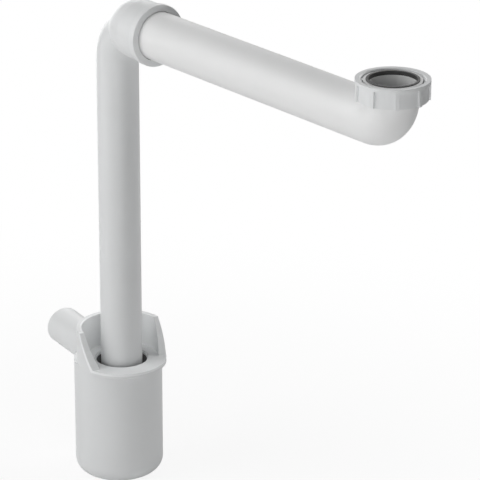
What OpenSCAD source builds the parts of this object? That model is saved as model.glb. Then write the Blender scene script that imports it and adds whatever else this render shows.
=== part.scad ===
// Space saving sink trap: a cup with a wall outlet, a drop pipe that dips into it,
// and a long side arm that carries the sink's waste to the wall.
// Origin: centre of the outlet's open end. +X runs along the arm, away from the wall, and +Z is up.

/* [Layout] */
// From the outlet's open end to the axis of the drop pipe
outlet_reach = 106; // [85:1:150]
// How far the outlet's axis lies below the flat front rim
outlet_drop = 9; // [4:0.5:12]
// From the flat front rim up to the axis of the arm
arm_rise = 299; // [160:1:450]
// From the axis of the drop pipe to the axis of the inlet
arm_reach = 335; // [200:1:480]
// How far the arm is swung from the line of the outlet, in degrees
arm_turn = 8.5; // [-40:0.5:40]
// How far the cup's axis lies behind the drop pipe's axis
cup_shift = 6.5; // [0:0.5:7]

/* [Pipes] */
// Outer diameter of the drop pipe
drop_od = 35; // [32:0.5:37]
// Wall of the drop pipe
drop_wall = 1.9; // [1.4:0.1:3]
// How far the drop pipe dips below the front rim
dip_depth = 86; // [60:1:90]
// Outer diameter of the arm
arm_od = 40; // [38:0.5:42]
// Wall of the arm
arm_wall = 1.9; // [1.4:0.1:3]
// Outer diameter of the outlet stub
outlet_od = 32; // [28:0.5:34]
// Wall of the outlet stub
outlet_wall = 2; // [1.4:0.1:3]
// Length of the outlet stub that goes into the wall pipe's seal
outlet_spigot = 47; // [30:1:50]
// How far the outlet's root stands out from the stub
outlet_root = 0.7; // [0.4:0.1:1.5]

/* [Cup] */
// Outer diameter of the cup
cup_od = 75; // [73:0.5:86]
// Wall of the cup
cup_wall = 2.4; // [1.8:0.1:3]
// From the front rim down to the underside of the cup
cup_depth = 105.5; // [98:0.5:140]
// Radius of the cup's lower edge
cup_edge_r = 12; // [6:0.5:18]

/* [Collar] */
// Outer diameter of the collar
collar_od = 76; // [75:0.5:80]
// Wall of the collar
collar_wall = 2; // [1.8:0.1:2.6]
// Thickness of the cup's shoulder under the collar
shoulder_wall = 1.6; // [1.4:0.1:2.4]
// Diameter of the opening round the drop pipe
collar_bore = 45; // [43:0.5:47]
// Height of the hood above the front rim
hood_height = 28; // [20:0.5:32]
// Radius of the hood's inside at its top edge
hood_top_r = 33.8; // [32.6:0.2:34.2]
// Radius of the hood's inside at its foot
hood_foot_r = 31.5; // [26:0.5:32]
// Height of the hood's straight foot
funnel_foot = 2; // [1:0.5:12]
// Where the hood's front edge starts, forward of the drop pipe's axis, at rim level
hood_front = 13.5; // [10:0.5:22]
// How far the hood's front edge leans back over its height
hood_lean = 17.5; // [4:0.5:20]
// How far the seal's seat reaches below the front rim
seat_depth = 16; // [14:0.5:22]

/* [Elbow] */
// Bend radius of the elbow's centreline
elbow_bend_r = 31; // [28:0.5:34]
// Outer diameter of the socket's rounded back
dome_od = 48; // [45:0.2:48.4]
// Outer diameter of the socket behind its ring
socket_od = 49; // [49:0.5:53]
// From the drop pipe's axis to the socket's mouth
socket_mouth = 55; // [53:0.5:70]
// Depth of the socket from its mouth
socket_depth = 26.5; // [24:0.5:28]
// How far the clip ring at the mouth stands out from the socket
ring_proud = 1.2; // [0.8:0.1:3]
// Width of the clip ring along the arm
ring_width = 6; // [5:0.5:8]
// How far the arm is pushed into the socket
arm_insert = 21.5; // [17:0.5:22]

/* [Inlet] */
// Bend radius of the upturned end's centreline
inlet_bend_r = 21; // [20.5:0.5:28]
// From the arm's axis up to the top of the flange
inlet_rise = 35.2; // [33:0.2:50]
// Outer diameter of the flange
flange_od = 44.4; // [43:0.2:44.6]
// Thickness of the flange
flange_thick = 3.4; // [2.8:0.2:5]
// Outer diameter of the nut's body
nut_od = 53.4; // [52:0.2:56]
// Height of the nut
nut_height = 15.5; // [13:0.5:17]
// Nominal outer diameter of the nut's thread, G 1 1/2
thread_od = 47.8; // [47.8:0.1:48]
// How far the nut is turned from the arm's line, in degrees
nut_turn = 5; // [0:1:40]
// Number of gripping lugs round the nut
lug_count = 9; // [6:1:18]
// How far a lug stands out from the nut
lug_height = 1.5; // [1:0.1:2.5]
// Width of a lug
lug_width = 3; // [2:0.2:5]

/* [Seals and clearances] */
// Gap between a rubber ring and the plastic it runs on
seal_gap = 0.05; // [0.03:0.01:0.1]
// Gap between plastic pieces that move past each other
slide_gap = 0.4; // [0.3:0.05:0.5]
// Gap between plastic pieces that are pushed together for good
seat_gap = 0.15; // [0.1:0.05:0.2]

/* [Hidden] */
$fn = 96;
eps = 0.01;
far = 200;

white = [0.86, 0.87, 0.87];
light_grey = [0.80, 0.81, 0.81];
black = [0.10, 0.10, 0.11];

drop_r = drop_od / 2;
drop_bore_r = drop_r - drop_wall;
arm_r = arm_od / 2;
arm_bore_r = arm_r - arm_wall;
cup_r = cup_od / 2;
cup_bore_r = cup_r - cup_wall;
collar_r = collar_od / 2;
collar_bore_r = collar_bore / 2;
nut_r = nut_od / 2;
thread_r = thread_od / 2;
outlet_r = outlet_od / 2;
socket_r = socket_od / 2;
ring_r = socket_r + ring_proud;
dome_r = dome_od / 2;
dome_x = socket_mouth - socket_depth;

// Heights above the outlet's axis
rim_z = outlet_drop;
arm_z = rim_z + arm_rise;

// Seal in the collar
clamp_height = 3;
lip_seal_height = 9;
lip_seal_top = 2.5;
seal_wall = 1.4;

// Clip ring and seal room at the socket's mouth
ring_face = 1.8;
ring_skirt = 1.5;
seal_room = 5.6;
seal_room_depth = 2.3;

// Rebate in the flange for its rubber ring
rebate_depth = 2.4;
rebate_width = 2;

// Underside of the nut, where it rests on the crown of the arm
nut_z = arm_r + 0.6;

// Puts its children on the drop pipe's axis, at the height of the front rim
module at_rim() {
    rotate([0, 0, -arm_turn]) translate([outlet_reach, 0, rim_z]) children();
}

// Puts its children where the arm's axis meets the drop pipe's, with +X along the arm
module at_elbow() {
    rotate([0, 0, -arm_turn]) translate([outlet_reach, 0, arm_z]) rotate([0, 0, arm_turn]) children();
}

// Lays a shape that was revolved about Z along +X
module along_arm() {
    rotate([0, 90, 0]) children();
}

module tube(outer_r, inner_r, height) {
    difference() {
        cylinder(r = outer_r, h = height);
        translate([0, 0, -1]) cylinder(r = inner_r, h = height + 2);
    }
}

// What the hood leaves open in front, grown by a wall thickness: all that lies above
// the rim and ahead of the leaning front edge
module front_opening(grow) {
    translate([0, far / 2, 0]) rotate([90, 0, 0]) linear_extrude(far)
        polygon([
            [hood_front - grow, -grow],
            [far, -grow],
            [far, far],
            [hood_front - hood_lean * 4 - grow, far],
            [hood_front - hood_lean * 4 - grow, hood_height * 4],
        ]);
}

// Space in the hood, grown by a wall thickness
module funnel(grow) {
    translate([0, 0, -grow]) cylinder(r = hood_foot_r + grow, h = funnel_foot + eps);
    translate([0, 0, funnel_foot - grow])
        cylinder(r1 = hood_foot_r + grow, r2 = hood_top_r + grow, h = hood_height - funnel_foot);
    translate([0, 0, hood_height - grow - eps])
        cylinder(r = hood_top_r + grow, h = hood_height);
}

module cup_solid(inset, top_z) {
    edge = cup_edge_r - inset;
    translate([-cup_shift, 0, 0]) rotate_extrude() {
        translate([0, -cup_depth + inset]) square([cup_r - cup_edge_r, top_z + cup_depth - inset]);
        translate([0, -cup_depth + cup_edge_r])
            square([cup_r - inset, top_z + cup_depth - cup_edge_r]);
        intersection() {
            translate([cup_r - cup_edge_r, -cup_depth + cup_edge_r]) circle(edge);
            translate([0, -cup_depth]) square([cup_r, cup_depth]);
        }
    }
}

// Cup with its raised back wall and its outlet stub, in one moulding
module trap_body() {
    shoulder_z = -collar_wall - shoulder_wall;
    corbel = collar_r + cup_shift - cup_r + 1;
    corbel_height = corbel / 2;
    color(white) at_rim() difference() {
        union() {
            cup_solid(0, -collar_wall);
            difference() {
                translate([0, 0, shoulder_z]) cylinder(r = collar_r, h = hood_height - shoulder_z);
                front_opening(collar_wall);
            }
            translate([0, 0, shoulder_z - corbel_height])
                cylinder(r1 = collar_r - corbel, r2 = collar_r, h = corbel_height);
            translate([-outlet_reach, 0, -outlet_drop]) along_arm()
                cylinder(r = outlet_r, h = outlet_reach);
            translate([outlet_spigot - outlet_reach, 0, -outlet_drop]) along_arm()
                cylinder(r = outlet_r + outlet_root, h = outlet_reach - outlet_spigot);
        }
        cup_solid(cup_wall, shoulder_z);
        intersection() {
            translate([0, 0, shoulder_z - eps]) cylinder(r = collar_r - cup_wall, h = far);
            translate([-cup_shift, 0, shoulder_z - eps]) cylinder(r = cup_bore_r, h = far);
        }
        translate([0, 0, -collar_wall]) cylinder(r = collar_r - cup_wall, h = far);
        translate([-outlet_reach - 1, 0, -outlet_drop]) along_arm()
            cylinder(r = outlet_r - outlet_wall, h = outlet_reach);
    }
}

// Flat rim with the hood's inner wall and the seat of the dip seal
module collar() {
    ledge_height = 1.4;
    ledge_width = 0.9;
    color(white) at_rim() {
        difference() {
            union() {
                intersection() {
                    translate([0, 0, -collar_wall])
                        cylinder(r = collar_r, h = hood_height + collar_wall);
                    front_opening(collar_wall);
                }
                intersection() {
                    translate([0, 0, -collar_wall])
                        cylinder(r = collar_r - cup_wall - seat_gap, h = hood_height + collar_wall);
                    funnel(collar_wall);
                }
            }
            front_opening(0);
            funnel(0);
            translate([0, 0, -far / 2]) cylinder(r = collar_bore_r, h = far);
        }
        translate([0, 0, -seat_depth])
            tube(collar_bore_r + collar_wall, collar_bore_r, seat_depth);
        translate([0, 0, -lip_seal_top])
            tube(collar_bore_r + eps, collar_bore_r - ledge_width, ledge_height);
    }
}

// Revolved lip seal about Z, with two lips that lean towards its foot
module lip_seal(outer_r, lip_r, height) {
    lip_thick = 1.1;
    lip_fall = 2.2;
    wall_r = outer_r - seal_wall;
    module lip(top) {
        rotate_extrude() polygon([
            [wall_r + eps, top],
            [lip_r, top - lip_fall],
            [lip_r, top - lip_fall - lip_thick],
            [wall_r + eps, top - 2 * lip_thick],
        ]);
    }
    tube(outer_r, wall_r, height);
    lip(height);
    lip(height * 0.65);
}

// Black ring in the collar that grips the drop pipe
module dip_seal() {
    color(black) at_rim() translate([0, 0, -lip_seal_top - lip_seal_height])
        lip_seal(collar_bore_r - seal_gap, drop_r + seal_gap, lip_seal_height);
}

// Ring pushed in under the dip seal to hold it up
module seal_clamp() {
    color(white) at_rim()
        translate([0, 0, -lip_seal_top - lip_seal_height - clamp_height - seat_gap])
            tube(collar_bore_r - seat_gap, drop_r + slide_gap, clamp_height);
}

// Quarter torus about Y, centred on the bend's own centre, from an angle in degrees
module quarter_bend(bend_r, r, from) {
    rotate([90, 0, 0]) rotate([0, 0, from])
        rotate_extrude(angle = 90) translate([bend_r, 0]) circle(r);
}

// Outside of the socket: a rounded back, then a slight flare up to the clip ring
module socket_body(end_x) {
    flare = 6;
    flare_length = 6;
    touch_r = dome_r * cos(flare);
    touch_x = dome_x - dome_r * sin(flare);
    full_x = touch_x + flare_length;
    along_arm() rotate_extrude() {
        intersection() {
            translate([0, dome_x]) circle(dome_r);
            translate([0, -far]) square([far, far + touch_x]);
        }
        polygon([[0, touch_x], [touch_r, touch_x], [socket_r, full_x], [socket_r, end_x], [0, end_x]]);
    }
}

// Drop pipe, elbow and the socket that takes the arm, in one moulding
module drop_pipe() {
    length = arm_rise + dip_depth - elbow_bend_r;
    chamfer = 1.2;
    lap = 0.8;
    elbow_wall = 4.5;
    $fn = 72;
    lock_r = ring_r - ring_skirt;
    lock_x = socket_mouth - ring_width;
    color(white) at_elbow() difference() {
        union() {
            translate([0, 0, -elbow_bend_r - length + chamfer])
                cylinder(r = drop_r, h = length - chamfer + eps);
            translate([0, 0, -elbow_bend_r - length])
                cylinder(r1 = drop_r - chamfer, r2 = drop_r, h = chamfer + eps);
            translate([elbow_bend_r, 0, -elbow_bend_r]) quarter_bend(elbow_bend_r, drop_r, 90);
            socket_body(lock_x);
            translate([lock_x - lap, 0, 0]) along_arm()
                cylinder(r = lock_r, h = lap + ring_width - ring_face - seat_gap);
        }
        translate([0, 0, -elbow_bend_r - length - 1])
            cylinder(r = drop_bore_r, h = length + 1 + eps);
        translate([elbow_bend_r, 0, -elbow_bend_r]) quarter_bend(elbow_bend_r, drop_bore_r, 90);
        translate([dome_x, 0, 0]) sphere(dome_r - elbow_wall);
        translate([dome_x, 0, 0]) along_arm() cylinder(r = arm_r + slide_gap, h = socket_depth + 1);
        translate([socket_mouth - ring_face - seal_room, 0, 0]) along_arm()
            cylinder(r = arm_r + seal_room_depth, h = socket_mouth);
    }
}

// Clip ring over the socket's mouth
module socket_ring() {
    skirt_r = ring_r - ring_skirt + seat_gap;
    skirt = ring_width - ring_face;
    round_r = 0.8;
    color(light_grey) at_elbow() translate([socket_mouth - ring_width + seat_gap, 0, 0]) along_arm()
        rotate_extrude() difference() {
            translate([arm_r + slide_gap, 0])
                square([ring_r - arm_r - slide_gap, ring_width - seat_gap]);
            translate([0, -eps]) square([skirt_r, skirt - seat_gap + eps]);
            translate([ring_r - round_r, ring_width - seat_gap - round_r]) difference() {
                square(round_r + 1);
                circle(round_r);
            }
        }
}

// Lip seal in the socket, on the arm
module socket_seal() {
    color(black) at_elbow()
        translate([socket_mouth - ring_face - seal_room + seal_gap, 0, 0]) along_arm()
            lip_seal(arm_r + seal_room_depth - seal_gap, arm_r + seal_gap, seal_room - 4 * seal_gap);
}

// Level arm with its upturned end and flange, in one moulding
module inlet_arm() {
    start = socket_mouth - arm_insert;
    run = arm_reach - inlet_bend_r - start;
    chamfer = 1.5;
    flange_r = flange_od / 2;
    color(white) at_elbow() difference() {
        union() {
            translate([start + chamfer, 0, 0]) along_arm() cylinder(r = arm_r, h = run - chamfer + eps);
            translate([start, 0, 0]) along_arm()
                cylinder(r1 = arm_r - chamfer, r2 = arm_r, h = chamfer + eps);
            translate([arm_reach - inlet_bend_r, 0, inlet_bend_r])
                quarter_bend(inlet_bend_r, arm_r, -90);
            translate([arm_reach, 0, inlet_bend_r - eps])
                cylinder(r = arm_r, h = inlet_rise - inlet_bend_r + eps);
            translate([arm_reach, 0, inlet_rise - flange_thick]) cylinder(r = flange_r, h = flange_thick);
        }
        translate([start - 1, 0, 0]) along_arm() cylinder(r = arm_bore_r, h = run + 1 + 2 * eps);
        translate([arm_reach - inlet_bend_r, 0, inlet_bend_r])
            quarter_bend(inlet_bend_r, arm_bore_r, -90);
        translate([arm_reach, 0, inlet_bend_r - 2 * eps]) cylinder(r = arm_bore_r, h = inlet_rise);
        translate([arm_reach, 0, inlet_rise - rebate_depth])
            cylinder(r = arm_bore_r + rebate_width, h = rebate_depth + 1);
    }
}

// Rubber ring in the flange's rebate, standing a little proud
module flange_seal() {
    proud = 0.7;
    color(black) at_elbow() translate([arm_reach, 0, inlet_rise - rebate_depth])
        tube(arm_bore_r + rebate_width - seal_gap, arm_bore_r + seal_gap, rebate_depth + proud);
}

// Lugged union nut, loose on the upturned end
module coupling_nut() {
    lip = 2.2;
    rim_height = 2.6;
    entry = 0.8;
    color(light_grey) at_elbow() translate([arm_reach, 0, nut_z]) {
        difference() {
            union() {
                cylinder(r = nut_r, h = nut_height);
                translate([0, 0, nut_height - rim_height])
                    cylinder(r = nut_r + lug_height, h = rim_height);
                for (i = [0:lug_count - 1]) rotate([0, 0, nut_turn + i * 360 / lug_count])
                    translate([nut_r - 1, -lug_width / 2, 0])
                        cube([1 + lug_height - 0.1, lug_width, nut_height - rim_height + eps]);
            }
            translate([0, 0, lip]) cylinder(r = thread_r, h = nut_height);
            translate([0, 0, nut_height - entry]) cylinder(r1 = thread_r, r2 = thread_r + entry, h = entry + eps);
            translate([0, 0, -1]) cylinder(r = arm_r + slide_gap, h = nut_height);
        }
    }
}

trap_body();
collar();
dip_seal();
seal_clamp();
drop_pipe();
socket_ring();
socket_seal();
inlet_arm();
flange_seal();
coupling_nut();
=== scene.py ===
"""Looks of a space saving sink trap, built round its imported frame.

The frame holds every moulding at its real size. This script gives each moulding its
finish, adds the union nut's fine thread, and sets the camera, lamps and pale floor.
All lengths are metres in the frame's own axes: +X along the arm, +Z up.
"""

import logging
import math
from dataclasses import dataclass, field
from enum import Enum
from typing import Any

import bmesh
import bpy
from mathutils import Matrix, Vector


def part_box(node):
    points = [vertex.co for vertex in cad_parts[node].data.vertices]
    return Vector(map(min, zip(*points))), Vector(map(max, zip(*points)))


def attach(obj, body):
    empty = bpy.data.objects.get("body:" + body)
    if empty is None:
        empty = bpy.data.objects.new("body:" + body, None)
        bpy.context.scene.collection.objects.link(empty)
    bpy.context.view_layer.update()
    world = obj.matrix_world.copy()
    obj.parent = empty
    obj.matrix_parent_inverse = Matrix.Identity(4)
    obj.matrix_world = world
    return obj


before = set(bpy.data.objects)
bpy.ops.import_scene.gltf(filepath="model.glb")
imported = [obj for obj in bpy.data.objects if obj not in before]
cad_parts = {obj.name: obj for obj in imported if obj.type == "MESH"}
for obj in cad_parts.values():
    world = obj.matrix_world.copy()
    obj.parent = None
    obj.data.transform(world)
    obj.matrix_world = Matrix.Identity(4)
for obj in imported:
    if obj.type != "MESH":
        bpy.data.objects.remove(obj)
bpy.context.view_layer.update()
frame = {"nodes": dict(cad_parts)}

LOG = logging.getLogger("sink_trap")
MM = 0.001
PHOTO_SIDE_PX = 480


class Slot(Enum):
    """Material slots of the record."""

    WHITE = "white_plastic"
    GREY = "grey_plastic"
    RUBBER = "seal_rubber"


class Body(Enum):
    """Rigid bodies of the frame."""

    TRAP = "trap"
    DIP_RING = "dip_ring"
    DROP = "drop"
    ARM_RING = "arm_ring"
    ARM = "arm"
    NUT = "nut"


@dataclass(frozen=True)
class Signal:
    """A shader value: a socket whose arithmetic adds Math nodes."""

    graph: "Graph"
    socket: bpy.types.NodeSocket

    def _math(self, operation: str, left: "Signal | float", right: "Signal | float") -> "Signal":
        """Adds one Math node.

        Args:
            operation: Blender's name of the operation.
            left: first operand.
            right: second operand.

        Returns:
            The node's result.
        """
        made = self.graph.node("ShaderNodeMath", {"operation": operation}, {0: left, 1: right})
        return made["Value"]

    def __add__(self, other: "Signal | float") -> "Signal":
        """Sum."""
        return self._math("ADD", self, other)

    def __radd__(self, other: float) -> "Signal":
        """Sum with the operands in the other order."""
        return self._math("ADD", other, self)

    def __sub__(self, other: "Signal | float") -> "Signal":
        """Difference."""
        return self._math("SUBTRACT", self, other)

    def __rsub__(self, other: float) -> "Signal":
        """Difference with the operands in the other order."""
        return self._math("SUBTRACT", other, self)

    def __mul__(self, other: "Signal | float") -> "Signal":
        """Product."""
        return self._math("MULTIPLY", self, other)

    def clipped(self) -> "Signal":
        """Returns the value held between 0 and 1."""
        return self.graph.node("ShaderNodeClamp", {}, {"Value": self})["Result"]


class Outputs:
    """Outputs of a node, by name or number, as signals."""

    def __init__(self, graph: "Graph", node: bpy.types.Node) -> None:
        """Keeps the node.

        Args:
            graph: graph that the node is in.
            node: the node.
        """
        self.graph = graph
        self.node = node

    def __getitem__(self, key: str | int) -> Signal:
        """Returns one output as a signal."""
        return Signal(self.graph, self.node.outputs[key])


class Graph:
    """Builds the node tree of a material or of the world."""

    def __init__(self, owner: bpy.types.Material | bpy.types.World) -> None:
        """Empties the owner's node tree.

        Args:
            owner: material or world whose nodes are built.
        """
        owner.use_nodes = True
        self.tree = owner.node_tree
        self.tree.nodes.clear()

    def node(self, kind: str, settings: dict[str, Any], sockets: dict[Any, Any]) -> Outputs:
        """Adds one node.

        Args:
            kind: Blender's type name of the node.
            settings: properties set before the sockets.
            sockets: input name or number to a number, a colour, a vector or a Signal.

        Returns:
            The node's outputs.
        """
        made = self.tree.nodes.new(kind)
        for name, value in settings.items():
            setattr(made, name, value)
        for key, value in sockets.items():
            if isinstance(value, Signal):
                self.tree.links.new(value.socket, made.inputs[key])
            else:
                made.inputs[key].default_value = value
        return Outputs(self, made)

    def place(self) -> Signal:
        """Returns the position in the object's own axes."""
        return self.node("ShaderNodeTexCoord", {}, {})["Object"]

    def noise(self, scale: float, detail: float, place: Signal) -> Signal:
        """Adds a noise texture.

        Args:
            scale: features per metre, roughly.
            detail: octaves of finer noise.
            place: position that the noise is read at.

        Returns:
            The noise, from 0 to 1 around 0.5.
        """
        return self.node(
            "ShaderNodeTexNoise", {"noise_dimensions": "3D"},
            {"Vector": place, "Scale": scale, "Detail": detail, "Roughness": 0.55},
        )["Fac"]

    def blended(self, amount: Signal, first: Any, second: Any) -> Signal:
        """Mixes two colours.

        Args:
            amount: share of the second colour.
            first: colour where the amount is 0.
            second: colour where the amount is 1.

        Returns:
            The mixed colour.
        """
        outputs = self.node(
            "ShaderNodeMix", {"data_type": "RGBA", "blend_type": "MIX"},
            {0: amount, 6: first, 7: second},
        )
        return outputs[2]

    def bump(self, strength: float, height: float, relief: Signal) -> Signal:
        """Adds a bump to the surface's normal.

        Args:
            strength: share of the bump that is shown.
            height: depth of a relief of 1, in metres.
            relief: height of the surface, in units of that depth.

        Returns:
            The bumped normal.
        """
        return self.node(
            "ShaderNodeBump", {},
            {"Strength": strength, "Distance": height, "Height": relief},
        )["Normal"]

    def principled(self, sockets: dict[str, Any]) -> Signal:
        """Adds the main surface shader.

        Args:
            sockets: input name to a number or a Signal.

        Returns:
            The shader.
        """
        return self.node("ShaderNodeBsdfPrincipled", {}, sockets)["BSDF"]

    def surface(self, kind: str, shader: Signal) -> None:
        """Ends the graph in its output.

        Args:
            kind: Blender's type name of the output node.
            shader: shader of the surface or the surround.
        """
        self.node(kind, {}, {"Surface": shader})


def rgba(grey: float, tint: tuple[float, float, float] = (1.0, 1.0, 1.0)) -> tuple[float, ...]:
    """Makes a colour.

    Args:
        grey: linear grey level.
        tint: factor on red, green and blue.

    Returns:
        Red, green, blue and an alpha of 1.
    """
    return (grey * tint[0], grey * tint[1], grey * tint[2], 1.0)


@dataclass(frozen=True)
class MouldedPlastic:
    """Satin injection-moulded polypropylene with a faint cloudiness and a fine skin."""

    name: str
    slot: Slot
    grey: float
    tint: tuple[float, float, float] = (0.986, 1.0, 1.004)
    colour_range: float = 0.035
    roughness: float = 0.36
    cloud_roughness: float = 0.16
    fleck_roughness: float = 0.05
    ior: float = 1.49
    specular: float = 0.5
    cloud_scale: float = 26.0
    cloud_share: float = 0.7
    cloud_relief: float = 2.0
    fleck_scale: float = 900.0
    skin_scale: float = 2600.0
    skin_height: float = 0.012 * MM
    skin_strength: float = 0.35

    def material(self) -> bpy.types.Material:
        """Builds the material.

        Returns:
            The finished material.
        """
        made = bpy.data.materials.new(self.name)
        graph = Graph(made)
        place = graph.place()
        cloud = graph.noise(self.cloud_scale, 3.0, place)
        fleck = graph.noise(self.fleck_scale, 1.0, place)
        skin = graph.noise(self.skin_scale, 2.0, place)
        shade = (cloud * self.cloud_share + fleck * (1.0 - self.cloud_share)).clipped()
        dark = rgba(self.grey * (1.0 - self.colour_range), self.tint)
        pale = rgba(self.grey * (1.0 + self.colour_range), self.tint)
        uneven = (cloud - 0.5) * self.cloud_roughness
        specks = (fleck - 0.5) * self.fleck_roughness
        relief = skin + cloud * self.cloud_relief
        shader = graph.principled({
            "Base Color": graph.blended(shade, dark, pale),
            "Roughness": self.roughness + uneven + specks,
            "Normal": graph.bump(self.skin_strength, self.skin_height, relief),
            "IOR": self.ior,
            "Specular IOR Level": self.specular,
        })
        graph.surface("ShaderNodeOutputMaterial", shader)
        return made


@dataclass(frozen=True)
class SealRubber:
    """Smooth black rubber with a faint bloom of dust."""

    name: str
    slot: Slot
    grey: float
    clean_share: float = 0.7
    dusty_share: float = 1.5
    roughness: float = 0.55
    bloom_roughness: float = 0.3
    specular: float = 0.4
    bloom_scale: float = 320.0
    grain_scale: float = 3400.0
    grain_height: float = 0.02 * MM
    grain_strength: float = 0.4

    def material(self) -> bpy.types.Material:
        """Builds the material.

        Returns:
            The finished material.
        """
        made = bpy.data.materials.new(self.name)
        graph = Graph(made)
        place = graph.place()
        bloom = graph.noise(self.bloom_scale, 4.0, place)
        grain = graph.noise(self.grain_scale, 1.0, place)
        clean = rgba(self.grey * self.clean_share)
        dusty = rgba(self.grey * self.dusty_share)
        shader = graph.principled({
            "Base Color": graph.blended(bloom, clean, dusty),
            "Roughness": self.roughness + (bloom - 0.5) * self.bloom_roughness,
            "Normal": graph.bump(self.grain_strength, self.grain_height, grain),
            "Specular IOR Level": self.specular,
        })
        graph.surface("ShaderNodeOutputMaterial", shader)
        return made


WHITE_PLASTIC = MouldedPlastic("white_moulding", Slot.WHITE, 0.745)
# The collar is the same white plastic painted lighter (0.86 against 0.745): painted light that
# brightens its shaded hood and its rim.
COLLAR_PLASTIC_PAINTED_LIT = MouldedPlastic("collar_moulding_painted_light", Slot.WHITE, 0.86)
# The arm is the same white plastic painted lighter and more neutral (0.80 against 0.745):
# painted light that copies the brighter light along its level run.
ARM_PLASTIC_PAINTED_LIT = MouldedPlastic("arm_moulding_painted_light", Slot.WHITE, 0.80, tint=(0.996, 1.0, 0.998))
GREY_PLASTIC = MouldedPlastic("grey_moulding", Slot.GREY, 0.76, roughness=0.40)
BLACK_RUBBER = SealRubber("seal_rubber", Slot.RUBBER, 0.04)
Finish = MouldedPlastic | SealRubber


@dataclass
class Wardrobe:
    """Gives nodes and new pieces their finishes, each material made once."""

    nodes: dict[str, bpy.types.Object]
    made: dict[str, bpy.types.Material] = field(default_factory=dict)

    def material(self, finish: Finish) -> bpy.types.Material:
        """Returns the finish's material.

        Args:
            finish: finish that is wanted.

        Returns:
            Its material, the same one each time.
        """
        if finish.name not in self.made:
            self.made[finish.name] = finish.material()
        return self.made[finish.name]

    def dress_node(self, name: str, finish: Finish) -> None:
        """Gives a node of the frame its finish.

        Args:
            name: the node's name.
            finish: finish for all its material slots.
        """
        node = self.nodes[name]
        if not node.material_slots:
            node.data.materials.append(None)
        for slot in node.material_slots:
            slot.material = self.material(finish)
        LOG.info("dressed %s in %s", name, finish.name)

    def dress_piece(self, piece: bpy.types.Object, finish: Finish, body: Body) -> None:
        """Gives a new piece its finish and its body.

        Args:
            piece: the new piece.
            finish: its finish.
            body: body that it moves with.
        """
        piece.data.materials.append(self.material(finish))
        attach(piece, body.value)
        LOG.info("added %s on %s in %s", piece.name, body.value, finish.name)


@dataclass
class Cup:
    """Cup with its outlet, the collar set in it, and the seal and clamp in the collar."""

    wardrobe: Wardrobe

    def dress(self) -> None:
        """Gives the mouldings and the seal their finishes."""
        self.wardrobe.dress_node("trap_body", WHITE_PLASTIC)
        # Painted light: the collar gets a lighter copy of the white plastic.
        self.wardrobe.dress_node("collar", COLLAR_PLASTIC_PAINTED_LIT)
        self.wardrobe.dress_node("seal_clamp", WHITE_PLASTIC)
        self.wardrobe.dress_node("dip_seal", BLACK_RUBBER)


@dataclass
class Riser:
    """Drop pipe with its elbow, the clip ring and the seal in its socket."""

    wardrobe: Wardrobe

    def dress(self) -> None:
        """Gives the mouldings and the seal their finishes."""
        self.wardrobe.dress_node("drop_pipe", WHITE_PLASTIC)
        self.wardrobe.dress_node("socket_ring", GREY_PLASTIC)
        self.wardrobe.dress_node("socket_seal", BLACK_RUBBER)


@dataclass
class Arm:
    """Level arm with its upturned end and the rubber ring in its flange."""

    wardrobe: Wardrobe

    def dress(self) -> None:
        """Gives the moulding and the ring their finishes."""
        # Painted light: the arm gets a lighter copy of the white plastic.
        self.wardrobe.dress_node("inlet_arm", ARM_PLASTIC_PAINTED_LIT)
        self.wardrobe.dress_node("flange_seal", BLACK_RUBBER)


@dataclass
class UnionNut:
    """Loose nut with the fine thread inside it."""

    wardrobe: Wardrobe
    thread_r: float = 23.9 * MM
    ridge_height: float = 1.05 * MM
    ridge_foot: float = 0.88
    ridge_crest: float = 0.20
    sunk: float = 0.05 * MM
    pitch: float = 2.309 * MM
    lip: float = 2.2 * MM
    entry: float = 1.0 * MM
    steps: int = 120
    run_out_turns: float = 0.25
    least_ridge: float = 0.02

    def dress(self) -> None:
        """Gives the nut its finish and adds its thread."""
        self.wardrobe.dress_node("coupling_nut", GREY_PLASTIC)
        self.wardrobe.dress_piece(self.thread(), GREY_PLASTIC, Body.NUT)

    def thread(self) -> bpy.types.Object:
        """Models the thread's ridge as one closed helical bar.

        Returns:
            The ridge, in place in the nut.
        """
        low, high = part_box("coupling_nut")
        centre = (low + high) / 2
        foot = low.z + self.lip + self.pitch / 2
        head = high.z - self.entry - self.pitch / 2
        count = int((head - foot) / self.pitch * self.steps)
        run_out = self.steps * self.run_out_turns
        mesh = bmesh.new()
        rings: list[list[bmesh.types.BMVert]] = []
        for step in range(count + 1):
            angle = 2 * math.pi * step / self.steps
            rise = foot + self.pitch * step / self.steps
            full = min(1.0, step / run_out, (count - step) / run_out)
            rings.append([
                mesh.verts.new((
                    centre.x + radius * math.cos(angle),
                    centre.y + radius * math.sin(angle),
                    rise + offset,
                ))
                for radius, offset in self._section(max(full, self.least_ridge))
            ])
        for lower, upper in zip(rings, rings[1:]):
            for side in range(4):
                other = (side + 1) % 4
                mesh.faces.new((lower[side], lower[other], upper[other], upper[side]))
        mesh.faces.new(rings[0])
        mesh.faces.new(list(reversed(rings[-1])))
        bmesh.ops.recalc_face_normals(mesh, faces=mesh.faces)
        data = bpy.data.meshes.new("nut_thread")
        mesh.to_mesh(data)
        mesh.free()
        piece = bpy.data.objects.new("nut_thread", data)
        bpy.context.scene.collection.objects.link(piece)
        return piece

    def _section(self, share: float) -> tuple[tuple[float, float], ...]:
        """Gives the ridge's four corners.

        Args:
            share: share of the ridge's full height.

        Returns:
            Radius and height above the ridge's middle of each corner.
        """
        base = self.thread_r + self.sunk
        crest = self.thread_r - self.ridge_height * share
        half_foot = self.pitch * self.ridge_foot / 2
        half_crest = self.pitch * self.ridge_crest / 2
        return (base, -half_foot), (crest, -half_crest), (crest, half_crest), (base, half_foot)


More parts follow.
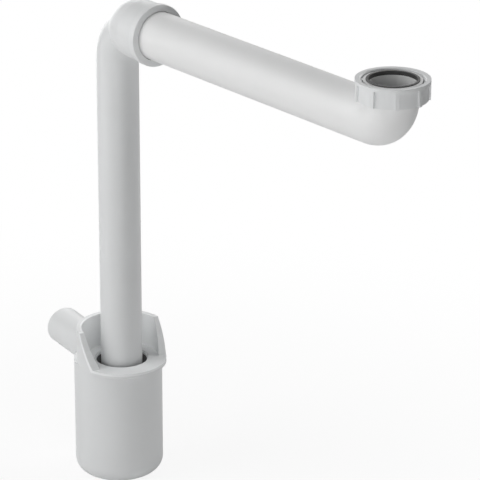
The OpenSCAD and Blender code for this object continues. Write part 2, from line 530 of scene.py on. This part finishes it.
@dataclass(frozen=True)
class SoftBox:
    """A large soft area lamp aimed at a point."""

    name: str
    place: tuple[float, float, float]
    aim: tuple[float, float, float]
    size: float
    watts: float

    def build(self) -> None:
        """Adds the lamp to the scene."""
        data = bpy.data.lights.new(self.name, "AREA")
        data.shape = "SQUARE"
        data.size = self.size
        data.energy = self.watts
        towards = Vector(self.aim) - Vector(self.place)
        lamp = bpy.data.objects.new(self.name, data)
        lamp.location = self.place
        lamp.rotation_euler = towards.to_track_quat("-Z", "Y").to_euler()
        lamp.visible_camera = False
        bpy.context.scene.collection.objects.link(lamp)


@dataclass
class Studio:
    """Pale floor that fades to white, white surround and soft lamps."""

    floor_z: float = -0.0968
    floor_side: float = 12.0
    floor_grey: float = 0.90
    floor_roughness: float = 0.9
    grain_scale: float = 220.0
    grain_range: float = 0.01
    foot_x: float = 0.105
    foot_y: float = -0.016
    shadow_share: float = 0.12
    fade_start: float = 0.10
    fade_end: float = 0.60
    ambient: float = 0.0
    lamps: tuple[SoftBox, ...] = (
        SoftBox("far_left", (-0.60, -1.00, 0.10), (0.12, 0.0, 0.12), 0.9, 3.1),
        SoftBox("viewer", (1.15, -0.80, 0.25), (0.20, 0.0, 0.15), 0.8, 5.2),
        SoftBox("left_high", (-0.30, -1.10, 1.00), (0.15, 0.0, 0.10), 0.9, 9.2),
        SoftBox("top", (0.10, -0.20, 1.40), (0.20, 0.0, 0.20), 1.0, 2.9),
        SoftBox("back_left", (-0.90, 0.35, 0.30), (0.10, 0.0, 0.10), 0.8, 3.7),
        SoftBox("back_high", (0.20, 1.10, 0.80), (0.20, 0.0, 0.20), 0.8, 6.8),
    )

    def build(self) -> None:
        """Builds the floor, the world and the lamps."""
        self._floor()
        self._world()
        for lamp in self.lamps:
            lamp.build()

    def _floor(self) -> None:
        """Adds the floor as one large square."""
        half = self.floor_side / 2
        outline = ((-half, -half), (half, -half), (half, half), (-half, half))
        data = bpy.data.meshes.new("floor")
        data.from_pydata([(x, y, self.floor_z) for x, y in outline], [], [(0, 1, 2, 3)])
        floor = bpy.data.objects.new("floor", data)
        bpy.context.scene.collection.objects.link(floor)
        data.materials.append(self._paper())

    def _paper(self) -> bpy.types.Material:
        """Makes paper that the camera sees as white, with a faint shadow by the object.

        Returns:
            The floor's material.
        """
        made = bpy.data.materials.new("floor_paper")
        graph = Graph(made)
        place = graph.place()
        grain = graph.noise(self.grain_scale, 3.0, place)
        dark = rgba(self.floor_grey * (1.0 - self.grain_range))
        pale = rgba(self.floor_grey * (1.0 + self.grain_range))
        paper = graph.principled({
            "Base Color": graph.blended(grain, dark, pale),
            "Roughness": self.floor_roughness,
        })
        white = graph.node(
            "ShaderNodeEmission", {}, {"Color": rgba(1.0), "Strength": 1.0},
        )["Emission"]
        rays = graph.node("ShaderNodeLightPath", {}, {})
        seen = (rays["Is Camera Ray"] + rays["Is Transmission Ray"]).clipped()
        foot = (self.foot_x, self.foot_y, self.floor_z)
        span = graph.node(
            "ShaderNodeVectorMath", {"operation": "DISTANCE"}, {0: place, 1: foot},
        )["Value"]
        shown = graph.node(
            "ShaderNodeMapRange", {"interpolation_type": "SMOOTHSTEP"},
            {
                "Value": span,
                "From Min": self.fade_start,
                "From Max": self.fade_end,
                "To Min": self.shadow_share,
                "To Max": 0.0,
            },
        )["Result"]
        mixed = graph.node(
            "ShaderNodeMixShader", {}, {0: seen * (1.0 - shown), 1: paper, 2: white},
        )["Shader"]
        graph.surface("ShaderNodeOutputMaterial", mixed)
        return made

    def _world(self) -> None:
        """Makes a surround that is white to the eye and in reflections, and gives no light."""
        world = bpy.data.worlds.new("surround")
        bpy.context.scene.world = world
        graph = Graph(world)
        rays = graph.node("ShaderNodeLightPath", {}, {})
        direct = rays["Is Camera Ray"] + rays["Is Glossy Ray"] + rays["Is Transmission Ray"]
        dim, white = (
            graph.node(
                "ShaderNodeBackground", {}, {"Color": rgba(1.0), "Strength": strength},
            )["Background"]
            for strength in (self.ambient, 1.0)
        )
        mixed = graph.node(
            "ShaderNodeMixShader", {}, {0: direct.clipped(), 1: dim, 2: white},
        )["Shader"]
        graph.surface("ShaderNodeOutputWorld", mixed)


@dataclass(frozen=True)
class PhotoCamera:
    """Long lens at the photograph's viewing angle."""

    aim: tuple[float, float, float] = (0.2548, -0.0157, 0.178)
    azimuth_deg: float = 50.79
    elevation_deg: float = 20.96
    distance: float = 2.432
    focal_px: float = 3058.0
    centre_px: tuple[float, float] = (233.2, 220.1)
    sensor_mm: float = 36.0

    def build(self) -> None:
        """Adds the camera and makes it the scene's own."""
        azimuth = math.radians(self.azimuth_deg)
        elevation = math.radians(self.elevation_deg)
        towards = Vector((
            math.sin(azimuth) * math.cos(elevation),
            -math.cos(azimuth) * math.cos(elevation),
            math.sin(elevation),
        ))
        data = bpy.data.cameras.new("photo_camera")
        data.sensor_width = self.sensor_mm
        data.lens = self.focal_px * self.sensor_mm / PHOTO_SIDE_PX
        data.shift_x = 0.5 - self.centre_px[0] / PHOTO_SIDE_PX
        data.shift_y = self.centre_px[1] / PHOTO_SIDE_PX - 0.5
        camera = bpy.data.objects.new("photo_camera", data)
        camera.location = Vector(self.aim) + towards * self.distance
        camera.rotation_euler = (-towards).to_track_quat("-Z", "Y").to_euler()
        bpy.context.scene.collection.objects.link(camera)
        bpy.context.scene.camera = camera


def main() -> None:
    """Builds the trap's looks in order."""
    logging.basicConfig(level=logging.INFO, format="%(name)s: %(message)s")
    bpy.context.scene.view_settings.view_transform = "Standard"
    PhotoCamera().build()
    Studio().build()
    wardrobe = Wardrobe(frame["nodes"])
    for assembly in (Cup(wardrobe), Riser(wardrobe), Arm(wardrobe), UnionNut(wardrobe)):
        assembly.dress()


if __name__ == "__main__":
    main()
